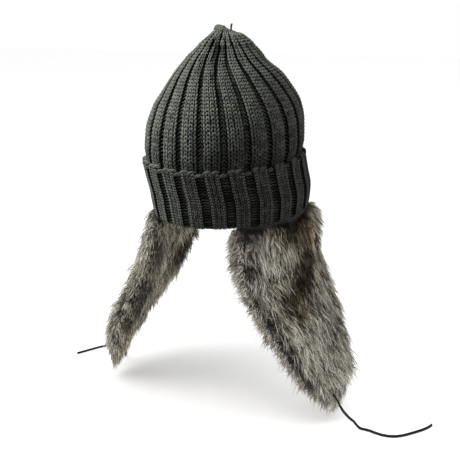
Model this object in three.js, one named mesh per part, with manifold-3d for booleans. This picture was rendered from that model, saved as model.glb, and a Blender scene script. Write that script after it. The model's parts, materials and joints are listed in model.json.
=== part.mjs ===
// A chunky ribbed knit cap with a turned-up cuff, a gathered peak and two long fur ear flaps,
// each with a thin lace at its tip. Millimetres, +Z up. The front of the cap faces -Y and the
// wearer's left is +X. The origin is the middle of the head opening, level with the cuff's fold.
//
// A place round the cap is given by its turn in degrees: 0 at the middle of the back, 90 at the
// wearer's right, 180 at the front.

import * as THREE from 'three';
import { mergeVertices } from 'three/addons/utils/BufferGeometryUtils.js';
import Module from 'manifold-3d';

const wasm = await Module();
wasm.setup();

// The knit, which is the same all round the crown and the cuff.
const RIBS = 22;
const FIRST_GUTTER = 30.5;
const GUTTER_SHARE = 0.36;
const WALL = 5.2;
const GAP = 0.3;
const FINE = RIBS * 4;
const PLAIN = RIBS * 2;
const COARSE = RIBS;

// The cuff.
const CUFF_HEIGHT = 66;
const CUFF_WALL = 5.2;
const CUFF_FACE = -(CUFF_WALL + GAP);
const CUFF_GROOVE = 3;
const RIM_ROUND = 1.8;
const RIM_NOTCH = 2.4;
const FOLD_HEIGHT = 8;

// The crown and its peak. Each pair is the heights between which the gutters deepen, every
// second one closes, and all of them fade into the pucker.
const CROWN_GROOVE = 2.7;
const PEAK_GROOVE = 4.2;
const DEEPENING = [150, 205];
const CLOSING = [192, 206];
const FADING = [207, 214];
const PUCKER_DEPTH = 6;
const INNER_TOP = 200;
const HIDDEN_BELOW = 64;
const LEAN_TURN = 118;

// The fur: each flap has an outer panel and a deeper inner one, sewn back to back.
const BACKING = 2;
const OUTER_PILE = 9;
const INNER_PILE = 14;
const TOP_SHARE = 0.2;
const TOP_FADE = 24;
const TIP_SHARE = 0.5;
const TIP_FADE = [165, 206];
const EDGE_THINNING = 0.55;
const LOCK_LENGTH = 37;
const LOCK_WIDTH = 22;
const LOCK_THICK = 9;
const LOCK_SPACING = 23;
const LOCK_ROWS = 7;
const LOCK_LIFT = 7;
const TOP_LOCK_LIFT = 10;
const LOCK_REACH = 0.96;
const UNEVEN = { length: 3, width: 1.5, sweep: 0.06 };
const FRONT_SWEEP = 0.22;
const OUTER_REAR_SWEEP = 0.1;
const INNER_REAR_SWEEP = 0.55;
const PANEL_ROWS = 9;
const PANEL_COLUMNS = 6;

// The laces, and the surface that they come to lie on.
const LACE = 3;
const LACE_SIDES = 8;
const LACE_STEP = 2.4 * LACE;
const FLOOR = -240;
const LAID = FLOOR + LACE / 2;

// Level sections of the crown's outer face: half its breadth, half its length, how far the
// section's middle leans toward the wearer's right front, and how far its ribs have twisted round.
const CROWN_LEVELS = [
  { up: 0, breadth: 83.8, length: 97, lean: 2.2, twist: 0 },
  { up: 25, breadth: 87, length: 100.4, lean: 1.6, twist: 0 },
  { up: 45, breadth: 87.4, length: 100.8, lean: -2, twist: 0 },
  { up: 66, breadth: 88, length: 101.4, lean: -4.9, twist: 0 },
  { up: 78, breadth: 90, length: 103.7, lean: -4.2, twist: 0 },
  { up: 101, breadth: 89, length: 102, lean: -2.8, twist: -0.8 },
  { up: 124, breadth: 83.5, length: 94.6, lean: -0.6, twist: -3.6 },
  { up: 142, breadth: 74.2, length: 83, lean: 0.2, twist: -6.6 },
  { up: 162, breadth: 60.3, length: 66.5, lean: 0, twist: -11.2 },
  { up: 179, breadth: 44.5, length: 47.5, lean: -0.9, twist: -16 },
  { up: 192, breadth: 31.8, length: 33.3, lean: 0, twist: -18.5 },
  { up: 204, breadth: 20.2, length: 20.8, lean: 0.6, twist: -22.3 },
  { up: 211, breadth: 11.5, length: 11.5, lean: 0.8, twist: -24 },
  { up: 214, breadth: 5.5, length: 5.5, lean: 0.8, twist: -25 },
];

// The crown's rings from the peak down its outer face, and then up its inner face.
const OUTER_RINGS = [
  { columns: COARSE, ups: [214, 211] },
  { columns: PLAIN, ups: [205, 198] },
  { columns: FINE, ups: [190, 181, 171, 160, 148, 136, 123, 108, 92, 79, 70] },
  { columns: PLAIN, ups: [HIDDEN_BELOW, 45, 25, FOLD_HEIGHT + GAP] },
];
const INNER_RINGS = [FOLD_HEIGHT + GAP, 45, 70, 95, 120, 142, 162, 180, 194];

// The cuff's section, from the rim's shoulder down its outer face, round the fold and up behind:
// where the knit's width is read, how far in from there, the gutters' depth and the real height.
const CUFF_SECTION = [
  { columns: FINE, up: 66, inside: CUFF_FACE + 0.4, groove: CUFF_GROOVE, height: 66, notch: RIM_NOTCH },
  { columns: FINE, up: 45, inside: CUFF_FACE, groove: CUFF_GROOVE, height: 45, notch: 0 },
  { columns: FINE, up: 25, inside: CUFF_FACE, groove: CUFF_GROOVE, height: 25, notch: 0 },
  { columns: FINE, up: 9, inside: CUFF_FACE, groove: CUFF_GROOVE, height: 9, notch: 0 },
  { columns: FINE, up: 0, inside: CUFF_FACE + 2.2, groove: CUFF_GROOVE * 0.8, height: 2, notch: 0 },
  { columns: PLAIN, up: 0, inside: GAP, groove: 0, height: 0, notch: 0 },
  { columns: PLAIN, up: 2.5, inside: WALL - 1, groove: 0, height: 2.5, notch: 0 },
  { columns: PLAIN, up: FOLD_HEIGHT, inside: WALL, groove: 0, height: FOLD_HEIGHT, notch: 0 },
  { columns: PLAIN, up: FOLD_HEIGHT, inside: -GAP, groove: 0, height: FOLD_HEIGHT, notch: 0 },
  { columns: PLAIN, up: 25, inside: -GAP, groove: 0, height: 25, notch: 0 },
  { columns: PLAIN, up: 45, inside: -GAP, groove: 0, height: 45, notch: 0 },
  { columns: PLAIN, up: HIDDEN_BELOW, inside: -GAP, groove: 0, height: HIDDEN_BELOW, notch: 0 },
  {
    columns: FINE,
    up: CUFF_HEIGHT,
    inside: CUFF_FACE / 2,
    groove: CUFF_GROOVE / 2,
    height: CUFF_HEIGHT + RIM_ROUND,
    notch: RIM_NOTCH,
  },
];

// Soft folds and dents in the crown: where each is, how far it spreads and how deep it goes.
const DENTS = [
  { turn: 27, up: 189, wide: 15, tall: 15, deep: 5.5 },
  { turn: 8, up: 184, wide: 7, tall: 17, deep: 3.5 },
  { turn: 118, up: 171, wide: 22, tall: 9, deep: 3.5 },
  { turn: -70, up: 150, wide: 24, tall: 16, deep: 1.5 },
  { turn: 200, up: 178, wide: 26, tall: 14, deep: 3.5 },
];

// Level sections of a flap's middle layer, from the cuff down: how far out and how far back the
// middle of its chord lies, the chord's width, how far the section bows outward from the chord,
// and how far in degrees the front end is turned out.
const FLAP_SECTIONS = {
  right: [
    { up: 0, out: 63, back: 14, width: 134, bow: 22, turned: 9.5 },
    { up: -50, out: 69.5, back: 16, width: 127, bow: 19, turned: 13 },
    { up: -100, out: 93, back: 23, width: 107, bow: 15, turned: 22 },
    { up: -150, out: 121, back: 30, width: 79, bow: 10, turned: 27 },
    { up: -185, out: 137, back: 34, width: 54, bow: 6, turned: 30 },
    { up: -206, out: 143.5, back: 35, width: 24, bow: 2, turned: 30 },
  ],
  left: [
    { up: 0, out: 63, back: 14, width: 134, bow: 22, turned: 9.5 },
    { up: -50, out: 79, back: 15, width: 128, bow: 18, turned: 9 },
    { up: -100, out: 102, back: 17, width: 116, bow: 14, turned: 8 },
    { up: -150, out: 135, back: 21, width: 94, bow: 11, turned: 12 },
    { up: -185, out: 151, back: 27, width: 62, bow: 7, turned: 16 },
    { up: -206, out: 158, back: 31, width: 24, bow: 2, turned: 16 },
  ],
};

// The laces' routes by hand: out of the fur at the tip, down to the surface and along it.
const LACE_ROUTES = {
  right: [
    [-149.8, 41.8, -201.1], [-154.5, 46, -202], [-158.5, 49, -204.8], [-162, 50.5, -209.3],
    [-165.8, 50, -215.3], [-171.4, 47, -223.2], [-177.4, 43, -230], [-185, 39.8, -236],
    [-193.5, 40, LAID], [-202, 42.2, LAID], [-212.5, 43.5, LAID], [-223, 41.2, LAID],
    [-231, 35.5, LAID], [-237.5, 28, LAID], [-243.5, 20, LAID], [-248.9, 12, LAID],
    [-252.7, 4.5, LAID], [-255, -3, LAID],
  ],
  left: [
    [165.8, 18.5, -205.6], [169, 12, -211], [172, 4, -217.5], [176, -5, -225], [180, -14, -232],
    [185, -23, -236.8], [191, -32, LAID], [199, -40, LAID], [208, -44.5, LAID],
    [217, -44.5, LAID], [225, -38.8, LAID], [232, -29.5, LAID], [238, -18.8, LAID],
    [243.8, -8, LAID], [249.4, 2.7, LAID],
  ],
};

const YARN = { color: 0x4a4e49, roughness: 0.95, metalness: 0 };
const FUR = { color: 0x8d867c, roughness: 0.9, metalness: 0 };
const LEATHER = { color: 0x17171a, roughness: 0.6, metalness: 0 };

const radians = THREE.MathUtils.degToRad;
const smooth = THREE.MathUtils.smoothstep;

// The value of one column of a table at any height, on a smooth curve that never overshoots.
function level(rows, column, up) {
  const sorted = rows[0].up < rows.at(-1).up ? rows : [...rows].reverse();
  const at = THREE.MathUtils.clamp(up, sorted[0].up, sorted.at(-1).up);
  let i = 0;
  while (i < sorted.length - 2 && at > sorted[i + 1].up) i++;
  const slope = (j) => (sorted[j + 1][column] - sorted[j][column]) / (sorted[j + 1].up - sorted[j].up);
  const tangent = (j) => {
    if (j === 0) return slope(0);
    if (j === sorted.length - 1) return slope(j - 1);
    const before = slope(j - 1);
    const after = slope(j);
    return before * after <= 0 ? 0 : (2 * before * after) / (before + after);
  };
  const span = sorted[i + 1].up - sorted[i].up;
  const t = (at - sorted[i].up) / span;
  const start = sorted[i][column] * (1 + 2 * t) * (1 - t) ** 2 + tangent(i) * span * t * (1 - t) ** 2;
  const end = sorted[i + 1][column] * t * t * (3 - 2 * t) + tangent(i + 1) * span * t * t * (t - 1);
  return start + end;
}

// How deep in a gutter a place is: 1 in its middle, 0 on the rib. Near the peak every second
// gutter closes, so that two ribs run on as one.
function gutter(ribCount, up) {
  const share = ribCount - Math.floor(ribCount);
  const near = 1 - smooth(Math.min(share, 1 - share), 0, GUTTER_SHARE / 2);
  const odd = Math.round(ribCount) % 2 !== 0;
  return odd ? near * (1 - smooth(up, ...CLOSING)) : near;
}

function dentDepth(turn, up) {
  let depth = 0;
  for (const dent of DENTS) {
    const away = ((turn - dent.turn + 540) % 360) - 180;
    depth += dent.deep * Math.exp(-((away / dent.wide) ** 2) - ((up - dent.up) / dent.tall) ** 2);
  }
  return depth;
}

// A point on the cap's axis, which leans as its sections do.
function axisPoint(up) {
  const lean = level(CROWN_LEVELS, 'lean', up);
  return new THREE.Vector3(
    -lean * Math.sin(radians(LEAN_TURN)),
    lean * Math.cos(radians(LEAN_TURN)),
    up,
  );
}

// A point of the knit's outer face, or `inside` that far in from it. A positive `groove` sinks
// the gutters.
function knitPoint(ribCount, up, { inside = 0, groove = 0, dents = 0, height = up } = {}) {
  const turn = FIRST_GUTTER + (ribCount * 360) / RIBS + level(CROWN_LEVELS, 'twist', up);
  const inset = inside + groove * gutter(ribCount, up) + dents * dentDepth(turn, up);
  const across = level(CROWN_LEVELS, 'breadth', up) - inset;
  const along = level(CROWN_LEVELS, 'length', up) - inset;
  const middle = axisPoint(up);
  return new THREE.Vector3(
    middle.x - across * Math.sin(radians(turn)),
    middle.y + along * Math.cos(radians(turn)),
    height,
  );
}

// Where the columns of a ring stand, counted in ribs: on the gutters, the ribs' edges and middles.
function ringPlaces(columns) {
  const edge = GUTTER_SHARE / 2;
  const shares = { 1: [0], 2: [0, 0.5], 4: [0, edge, 0.5, 1 - edge] }[columns / RIBS];
  return Array.from({ length: RIBS }, (_, rib) => shares.map((share) => rib + share)).flat();
}

function ring(columns, place) {
  return ringPlaces(columns).map(place);
}

// Closed body from a list of rings, each of one point, or of the same, half or twice the columns
// of the one before.
function bodyFromRings(rings, { closed = false } = {}) {
  const points = [];
  const faces = [];
  const starts = rings.map((points3) => {
    const start = points.length;
    points.push(...points3);
    return start;
  });
  const pairs = rings.length - (closed ? 0 : 1);
  for (let r = 0; r < pairs; r++) {
    const s = (r + 1) % rings.length;
    const [here, there] = [rings[r].length, rings[s].length];
    const a = (k) => starts[r] + (k % here);
    const b = (k) => starts[s] + (k % there);
    for (let k = 0; k < Math.max(here, there); k++) {
      if (here === 1) faces.push([a(0), b(k), b(k + 1)]);
      else if (there === 1) faces.push([a(k), b(0), a(k + 1)]);
      else if (here === there) faces.push([a(k), b(k), b(k + 1)], [a(k), b(k + 1), a(k + 1)]);
      else if (here > there && k < there) {
        faces.push([a(2 * k), b(k), a(2 * k + 1)], [a(2 * k + 1), b(k), b(k + 1)]);
        faces.push([a(2 * k + 1), b(k + 1), a(2 * k + 2)]);
      } else if (here < there && k < here) {
        faces.push([a(k), b(2 * k), b(2 * k + 1)], [a(k), b(2 * k + 1), a(k + 1)]);
        faces.push([a(k + 1), b(2 * k + 1), b(2 * k + 2)]);
      }
    }
  }
  return geometryOf(points, faces);
}

// Triangles as a geometry, with the faces turned to point out.
function geometryOf(points, faces) {
  let volume = 0;
  for (const [i, j, k] of faces) {
    volume += points[i].dot(new THREE.Vector3().crossVectors(points[j], points[k]));
  }
  const outward = volume > 0 ? faces : faces.map(([i, j, k]) => [i, k, j]);
  const geometry = new THREE.BufferGeometry();
  geometry.setAttribute('position', new THREE.Float32BufferAttribute(points.flatMap((p) => p.toArray()), 3));
  geometry.setIndex(outward.flat());
  return geometry;
}

function solidOf(geometry) {
  const plain = geometry.clone();
  plain.deleteAttribute('normal');
  plain.deleteAttribute('uv');
  const merged = mergeVertices(plain, 1e-4);
  return new wasm.Manifold(new wasm.Mesh({
    numProp: 3,
    vertProperties: new Float32Array(merged.attributes.position.array),
    triVerts: new Uint32Array(merged.index.array),
  }));
}

function geometryFromSolid(solid) {
  const mesh = solid.getMesh();
  const geometry = new THREE.BufferGeometry();
  geometry.setAttribute('position', new THREE.Float32BufferAttribute(mesh.vertProperties, 3));
  geometry.setIndex([...mesh.triVerts]);
  return geometry;
}

function namedMesh(name, geometry, finish) {
  geometry.computeVertexNormals();
  const mesh = new THREE.Mesh(geometry, new THREE.MeshStandardMaterial(finish));
  mesh.name = name;
  return mesh;
}

// The crown: its ribbed outer face from the sunk peak down, the plain stretch under the cuff, its
// lower edge on the fold, and its smooth inner face.
function crown() {
  const outer = OUTER_RINGS.flatMap(({ columns, ups }) => ups.map((up) => ring(columns, (place) => {
    const depth = THREE.MathUtils.lerp(CROWN_GROOVE, PEAK_GROOVE, smooth(up, ...DEEPENING));
    const groove = up <= HIDDEN_BELOW ? 0 : depth * (1 - smooth(up, ...FADING));
    return knitPoint(place, up, { groove, dents: 1 });
  })));
  const inner = INNER_RINGS.map((up) =>
    ring(PLAIN, (place) => knitPoint(place, up, { inside: WALL, dents: 1 })));
  const pucker = axisPoint(CROWN_LEVELS.at(-1).up - PUCKER_DEPTH);
  return bodyFromRings([[pucker], ...outer, ...inner, [axisPoint(INNER_TOP)]]);
}

// The cuff: a ribbed band turned up over the crown, with a rolled fold under the crown's edge and
// a notched upper rim.
function cuff() {
  const rings = CUFF_SECTION.map(({ columns, up, inside, groove, height, notch }) =>
    ring(columns, (place) => knitPoint(place, up, {
      inside,
      groove,
      height: height - notch * gutter(place, 0),
    })));
  return bodyFromRings(rings, { closed: true });
}

// A point of a flap: `across` runs from -1 at its rear edge to 1 at its front edge.
function flapPoint(flap, across, up) {
  const read = (column) => level(flap.sections, column, up);
  const turned = radians(read('turned'));
  const reach = (across * read('width')) / 2;
  const bow = read('bow') * (1 - across * across);
  const out = read('out') + reach * Math.sin(turned) + bow * Math.cos(turned);
  const back = read('back') - reach * Math.cos(turned) + bow * Math.sin(turned);
  return new THREE.Vector3(flap.side * out, back, up);
}

// The directions at a point of a flap: to its front edge, down it, and straight out of the layer.
function flapFrame(flap, across, up) {
  const step = 0.01;
  const forward = flapPoint(flap, across + step, up).sub(flapPoint(flap, across - step, up)).normalize();
  const down = flapPoint(flap, across, up - 1).sub(flapPoint(flap, across, up + 1)).normalize();
  const outward = new THREE.Vector3().crossVectors(forward, down).normalize();
  if (outward.x * flap.side < 0) outward.negate();
  return { forward, down, outward };
}

// How far the fur's dense body stands off the flap's middle layer.
function pileDepth(face, across, up) {
  const pile = face > 0 ? OUTER_PILE : INNER_PILE;
  const toTop = THREE.MathUtils.lerp(TOP_SHARE, 1, smooth(-up, 0, TOP_FADE));
  const toTip = THREE.MathUtils.lerp(1, TIP_SHARE, smooth(-up, ...TIP_FADE));
  return BACKING + pile * toTop * toTip * (1 - EDGE_THINNING * Math.abs(across) ** 3);
}

// One fur panel's backing and dense pile, on the outer (face 1) or inner (face -1) side.
function pileBody(flap, face) {
  const top = -GAP;
  const bottom = flap.sections.at(-1).up;
  const rows = PANEL_ROWS;
  const columns = PANEL_COLUMNS;
  const points = [];
  const faces = [];
  const index = (row, column, skin) => (row * (columns + 1) + column) * 2 + skin;
  for (let row = 0; row <= rows; row++) {
    const up = THREE.MathUtils.lerp(top, bottom, row / rows);
    for (let column = 0; column <= columns; column++) {
      const across = -1 + (2 * column) / columns;
      const base = flapPoint(flap, across, up);
      const { outward } = flapFrame(flap, across, up);
      for (const off of [GAP / 2, pileDepth(face, across, up)]) {
        const point = base.clone().addScaledVector(outward, face * off);
        points.push(row === 0 ? point.setZ(top) : point);
      }
    }
  }
  const quad = (a, b, c, d) => faces.push([a, b, c], [a, c, d]);
  for (let row = 0; row < rows; row++) {
    for (let column = 0; column < columns; column++) {
      for (const skin of [0, 1]) {
        const corners = [
          index(row, column, skin), index(row + 1, column, skin),
          index(row + 1, column + 1, skin), index(row, column + 1, skin),
        ];
        quad(...(skin ? corners : corners.reverse()));
      }
    }
    quad(index(row, 0, 1), index(row, 0, 0), index(row + 1, 0, 0), index(row + 1, 0, 1));
    quad(index(row, columns, 0), index(row, columns, 1),
      index(row + 1, columns, 1), index(row + 1, columns, 0));
  }
  for (let column = 0; column < columns; column++) {
    quad(index(0, column, 0), index(0, column, 1), index(0, column + 1, 1), index(0, column + 1, 0));
    quad(index(rows, column, 1), index(rows, column, 0),
      index(rows, column + 1, 0), index(rows, column + 1, 1));
  }
  return solidOf(geometryOf(points, faces));
}

// A lock of fur: a tapering four-sided tuft that leaves the pile and bends down along it.
function lock(flap, face, across, up, { length, width, sweep, lift }) {
  const { forward, down, outward } = flapFrame(flap, across, up);
  const root = flapPoint(flap, across, up).addScaledVector(outward, face * pileDepth(face, across, up) * 0.6);
  const along = down.clone().addScaledVector(forward, sweep).normalize();
  const side = new THREE.Vector3().crossVectors(along, outward).normalize();
  const points = [];
  for (const [share, girth] of [[0, 1], [0.5, 0.8], [1, 0]]) {
    const centre = root.clone()
      .addScaledVector(along, length * share)
      .addScaledVector(outward, face * lift * Math.sin((share * Math.PI) / 2));
    if (girth === 0) {
      points.push(centre);
      continue;
    }
    const half = (width / 2) * girth;
    const thick = (LOCK_THICK / 2) * girth;
    points.push(
      centre.clone().addScaledVector(side, half),
      centre.clone().addScaledVector(outward, face * thick),
      centre.clone().addScaledVector(side, -half),
      centre.clone().addScaledVector(outward, -face * Math.min(thick, 2)),
    );
  }
  const faces = [[0, 1, 2], [0, 2, 3]];
  for (let k = 0; k < 4; k++) {
    const next = (k + 1) % 4;
    faces.push([k, 4 + k, next], [next, 4 + k, 4 + next], [4 + k, 8, 4 + next]);
  }
  return solidOf(geometryOf(points, faces));
}

// A whole fur panel: the pile with overlapping rows of locks, set like bricks, that fan out past
// its edges and hang below its tip.
function furPanel(flap, face) {
  const bottom = flap.sections.at(-1).up;
  let fur = pileBody(flap, face);
  for (let row = 0; row < LOCK_ROWS; row++) {
    const share = (row + 0.35) / LOCK_ROWS;
    const up = bottom * share;
    const width = level(flap.sections, 'width', up);
    const locks = Math.max(2, Math.round(width / LOCK_SPACING));
    for (let k = 0; k < locks; k++) {
      const across = LOCK_REACH * (-1 + (2 * (k + (row % 2 ? 0.25 : 0))) / Math.max(locks - 0.75, 1));
      const uneven = Math.sin(row * 5.1 + k * 3.7 + face + flap.side);
      fur = fur.add(lock(flap, face, across, up, {
        length: LOCK_LENGTH + UNEVEN.length * uneven,
        width: LOCK_WIDTH + UNEVEN.width * uneven,
        sweep: (across > 0 ? FRONT_SWEEP : face > 0 ? OUTER_REAR_SWEEP : INNER_REAR_SWEEP)
          * across ** 3 + UNEVEN.sweep * uneven,
        lift: (row === 0 ? TOP_LOCK_LIFT : LOCK_LIFT) + uneven,
      }));
    }
  }
  return geometryFromSolid(fur);
}

// A lace: a thin round cord along its route.
function lace(route) {
  const section = new THREE.Shape();
  for (let k = 0; k < LACE_SIDES; k++) {
    const angle = ((k + 0.5) / LACE_SIDES) * 2 * Math.PI;
    const [x, y] = [(Math.cos(angle) * LACE) / 2, (Math.sin(angle) * LACE) / 2];
    if (k === 0) section.moveTo(x, y);
    else section.lineTo(x, y);
  }
  const path = new THREE.CatmullRomCurve3(route.map((point) => new THREE.Vector3(...point)));
  const steps = Math.round(path.getLength() / LACE_STEP);
  return new THREE.ExtrudeGeometry(section, { extrudePath: path, steps, bevelEnabled: false });
}

const cap = new THREE.Group();
cap.add(namedMesh('crown', crown(), YARN));
cap.add(namedMesh('cuff', cuff(), YARN));
for (const [name, side] of [['right', -1], ['left', 1]]) {
  const flap = { side, sections: FLAP_SECTIONS[name] };
  cap.add(namedMesh(`flap_${name}_outer`, furPanel(flap, 1), FUR));
  cap.add(namedMesh(`flap_${name}_inner`, furPanel(flap, -1), FUR));
  cap.add(namedMesh(`tie_${name}`, lace(LACE_ROUTES[name]), LEATHER));
}

export default cap;
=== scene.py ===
"""A chunky ribbed knit cap with a turned-up cuff, fur ear flaps and thin laces, knitted stitch by
stitch and furred hair by hair round the fixed solids."""
import json
import math

import bpy
import numpy as np
from mathutils import Matrix, Vector

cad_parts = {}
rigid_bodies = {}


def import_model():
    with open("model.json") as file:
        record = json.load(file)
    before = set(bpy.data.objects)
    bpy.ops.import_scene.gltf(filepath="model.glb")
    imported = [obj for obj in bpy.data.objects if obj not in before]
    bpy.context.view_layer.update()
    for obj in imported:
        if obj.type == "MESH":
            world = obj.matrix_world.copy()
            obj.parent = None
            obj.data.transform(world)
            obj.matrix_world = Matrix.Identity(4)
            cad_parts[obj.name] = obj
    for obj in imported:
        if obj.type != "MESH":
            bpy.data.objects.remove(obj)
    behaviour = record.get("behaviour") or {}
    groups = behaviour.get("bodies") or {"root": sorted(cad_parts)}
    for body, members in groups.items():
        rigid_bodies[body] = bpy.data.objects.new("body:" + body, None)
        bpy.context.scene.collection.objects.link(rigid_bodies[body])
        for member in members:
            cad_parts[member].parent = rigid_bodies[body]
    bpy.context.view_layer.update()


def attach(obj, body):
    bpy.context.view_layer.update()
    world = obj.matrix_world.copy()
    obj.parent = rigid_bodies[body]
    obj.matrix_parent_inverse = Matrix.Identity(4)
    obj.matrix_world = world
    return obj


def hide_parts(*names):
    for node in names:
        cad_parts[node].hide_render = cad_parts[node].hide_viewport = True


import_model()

MM = 0.001
UP = np.array([0.0, 0, 1])
FULL_TURN = 6.2832
rng = np.random.default_rng(22)

# The knit, in the same millimetres as the solids.
RIBS = 22
FIRST_GUTTER = 30.5
GUTTER_SHARE = 0.36
WALL = 5.2
GAP = 0.3
LEAN_TURN = 118
CROWN_GROOVE = 2.7
PEAK_GROOVE = 4.2
CUFF_HEIGHT = 66
CUFF_WALL = 5.2
FOLD_HEIGHT = 8
FLOOR = -240

# Level sections of the crown's outer face: height, half breadth, half length, lean and twist.
CROWN_COLUMNS = ("up", "breadth", "length", "lean", "twist")
CROWN_LEVELS = (
    (0, 83.8, 97, 2.2, 0),
    (25, 87, 100.4, 1.6, 0),
    (45, 87.4, 100.8, -2, 0),
    (66, 88, 101.4, -4.9, 0),
    (78, 90, 103.7, -4.2, 0),
    (101, 89, 102, -2.8, -0.8),
    (124, 83.5, 94.6, -0.6, -3.6),
    (142, 74.2, 83, 0.2, -6.6),
    (162, 60.3, 66.5, 0, -11.2),
    (179, 44.5, 47.5, -0.9, -16),
    (192, 31.8, 33.3, 0, -18.5),
    (204, 20.2, 20.8, 0.6, -22.3),
    (211, 11.5, 11.5, 0.8, -24),
    (214, 5.5, 5.5, 0.8, -25),
)

# Soft folds and dents in the crown: turn, height, how wide, how tall and how deep.
DENTS = (
    (27, 189, 15, 15, 5.5),
    (8, 184, 7, 17, 3.5),
    (118, 171, 22, 9, 3.5),
    (-70, 150, 24, 16, 1.5),
    (200, 178, 26, 14, 3.5),
)

# Level sections of each flap's middle layer, and the side of the cap that it hangs on.
SIGN = {"right": -1, "left": 1}
FLAP_COLUMNS = ("up", "out", "back", "width", "bow", "turned")
FLAP_LEVELS = {
    "right": (
        (0, 63, 14, 134, 22, 9.5),
        (-50, 69.5, 16, 127, 19, 13),
        (-100, 93, 23, 107, 15, 22),
        (-150, 121, 30, 79, 10, 27),
        (-185, 137, 34, 54, 6, 30),
        (-206, 143.5, 35, 24, 2, 30),
    ),
    "left": (
        (0, 63, 14, 134, 22, 9.5),
        (-50, 79, 15, 128, 18, 9),
        (-100, 102, 17, 116, 14, 8),
        (-150, 135, 21, 94, 11, 12),
        (-185, 151, 27, 62, 7, 16),
        (-206, 158, 31, 24, 2, 16),
    ),
}

# The laces' routes: the same points as the solids'.
LAID = FLOOR + 1.5
LACE_WIDTH = 3.0
LACE_THICK = 1.3
LACE_FLAT = 0.25
LACE_ROUTES = {
    "right": (
        (-149.8, 41.8, -201.1), (-154.5, 46, -202), (-158.5, 49, -204.8), (-162, 50.5, -209.3),
        (-165.8, 50, -215.3), (-171.4, 47, -223.2), (-177.4, 43, -230), (-185, 39.8, -236),
        (-193.5, 40, LAID), (-202, 42.2, LAID), (-212.5, 43.5, LAID), (-223, 41.2, LAID),
        (-231, 35.5, LAID), (-237.5, 28, LAID), (-243.5, 20, LAID), (-248.9, 12, LAID),
        (-252.7, 4.5, LAID), (-255, -3, LAID),
    ),
    "left": (
        (165.8, 18.5, -205.6), (169, 12, -211), (172, 4, -217.5), (176, -5, -225),
        (180, -14, -232), (185, -23, -236.8), (191, -32, LAID), (199, -40, LAID),
        (208, -44.5, LAID), (217, -44.5, LAID), (225, -38.8, LAID), (232, -29.5, LAID),
        (238, -18.8, LAID), (243.8, -8, LAID), (249.4, 2.7, LAID),
    ),
}

# The camera, which looks at the cap from behind and the wearer's right.
CAMERA_AZIMUTH = 208
CAMERA_ELEVATION = 16.5
CAMERA_ROLL = -1.65
CAMERA_DISTANCE = 1.1
CAMERA_LENS = 70.5
CAMERA_SENSOR = 36
CAMERA_TARGET_ASIDE = -0.0015
CAMERA_TARGET_UP = -0.030


def make_camera():
    azimuth, elevation = math.radians(CAMERA_AZIMUTH), math.radians(CAMERA_ELEVATION)
    back = Vector((
        math.sin(azimuth) * math.cos(elevation),
        -math.cos(azimuth) * math.cos(elevation),
        math.sin(elevation),
    ))
    level = Vector((math.cos(azimuth), math.sin(azimuth), 0))
    aside = Matrix.Rotation(math.radians(CAMERA_ROLL), 3, back) @ level
    place = level * CAMERA_TARGET_ASIDE + Vector((0, 0, CAMERA_TARGET_UP)) + back * CAMERA_DISTANCE
    data = bpy.data.cameras.new("camera")
    data.lens = CAMERA_LENS
    data.sensor_width = CAMERA_SENSOR
    camera = bpy.data.objects.new("camera", data)
    bpy.context.collection.objects.link(camera)
    turned = Matrix((aside, back.cross(aside), back)).transposed()
    camera.matrix_world = Matrix.Translation(place) @ turned.to_4x4()
    bpy.context.scene.camera = camera


class Shade:
    """A shader socket that takes part in plain arithmetic."""

    def __init__(self, graph, socket):
        self.graph, self.socket = graph, socket

    def _math(self, operation, *others, flip=False):
        values = [self, *others]
        if flip:
            values.reverse()
        return self.graph.node("ShaderNodeMath", {"operation": operation}, dict(enumerate(values)))

    def __add__(self, other):
        return self._math("ADD", other)

    __radd__ = __add__

    def __sub__(self, other):
        return self._math("SUBTRACT", other)

    def __rsub__(self, other):
        return self._math("SUBTRACT", other, flip=True)

    def __mul__(self, other):
        return self._math("MULTIPLY", other)

    __rmul__ = __mul__

    def __pow__(self, other):
        return self._math("POWER", other)

    def __rpow__(self, other):
        return self._math("POWER", other, flip=True)

    def clamp(self):
        return self._math("MAXIMUM", 0.0)._math("MINIMUM", 1.0)

    def wave(self):
        return self._math("SINE")

    def size(self):
        return self._math("ABSOLUTE")

    def share(self):
        return self._math("FRACT")


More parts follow.
